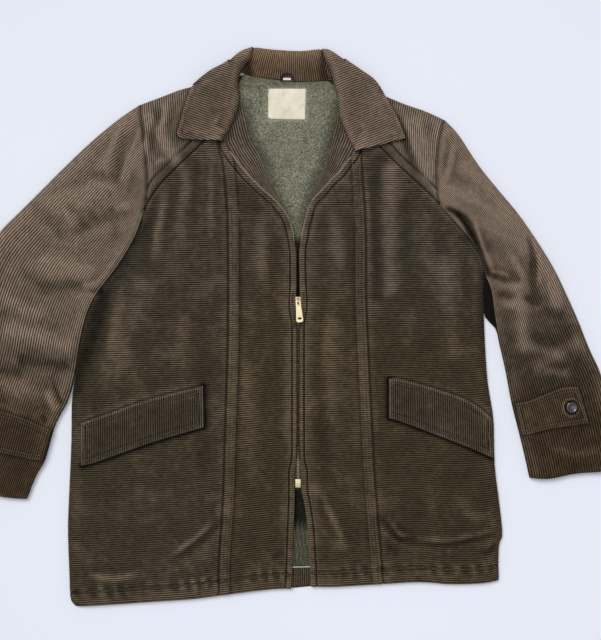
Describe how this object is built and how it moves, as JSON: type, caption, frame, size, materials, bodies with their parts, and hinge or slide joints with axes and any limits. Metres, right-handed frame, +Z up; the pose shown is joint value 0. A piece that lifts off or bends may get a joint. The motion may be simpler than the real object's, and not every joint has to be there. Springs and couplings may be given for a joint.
{
  "type": "corduroy jacket",
  "caption": "Pile-lined corduroy jacket laid flat on its back, zip open at the neck, with spread collar, slanted pocket flaps and buttoned cuff tabs.",
  "frame": {"origin": "point of the flat back on the surface it lies on, midway between the side seams and 377 mm above the hem at centre front", "axes": "+X to the wearer's left (the right of a view from above), +Y from hem to collar, +Z up from the surface"},
  "size_m": [0.9944, 0.8149, 0.0252],
  "materials": {
    "corduroy_body": "wide-wale cotton corduroy, dark olive brown",
    "corduroy_worn": "wide-wale cotton corduroy, worn lighter brown",
    "pile_lining": "deep grey-green pile",
    "piping": "pale bias edging",
    "zip_tape": "woven twill tape with brass teeth",
    "label_cloth": "cream woven satin, bare",
    "brass": "worn pale brass",
    "button": "glossy grey-purple resin"
  },
  "bodies": {
    "garment": {"back": "corduroy_body", "back_lining": "pile_lining", "back_hem_facing": "corduroy_body", "lining_piping": "piping", "front_side_left": "corduroy_body", "front_side_right": "corduroy_body", "front_centre_left": "corduroy_body", "front_centre_right": "corduroy_body", "yoke_left": "corduroy_worn", "yoke_right": "corduroy_worn", "sleeve_upper_left": "corduroy_worn", "sleeve_upper_right": "corduroy_worn", "sleeve_under_left": "corduroy_worn", "sleeve_under_right": "corduroy_worn", "pocket_flap_left": "corduroy_body", "pocket_flap_right": "corduroy_body", "cuff_tab_left": "corduroy_worn", "cuff_tab_right": "corduroy_worn", "cuff_button_left": "button", "cuff_button_right": "button", "zip_tape_left": "zip_tape", "zip_tape_right": "zip_tape", "facing_left": "corduroy_body", "facing_right": "corduroy_body", "collar_fall_left": "corduroy_worn", "collar_fall_right": "corduroy_worn", "collar_band": "corduroy_worn", "collar_under": "corduroy_worn", "neck_label": "label_cloth", "hang_loop": "corduroy_worn", "loop_stay": "label_cloth", "zip_slider": "brass", "zip_box": "brass"},
    "pull": {"zip_pull": "brass"}
  },
  "joints": [
    {"name": "zip_pull_hinge", "type": "hinge", "parent": "garment", "child": "pull", "pos_m": [0.0175, 0.042, 0.015], "axis": [-0.9962, -0.0872, 0], "range_deg": [0, 165]}
  ]
}
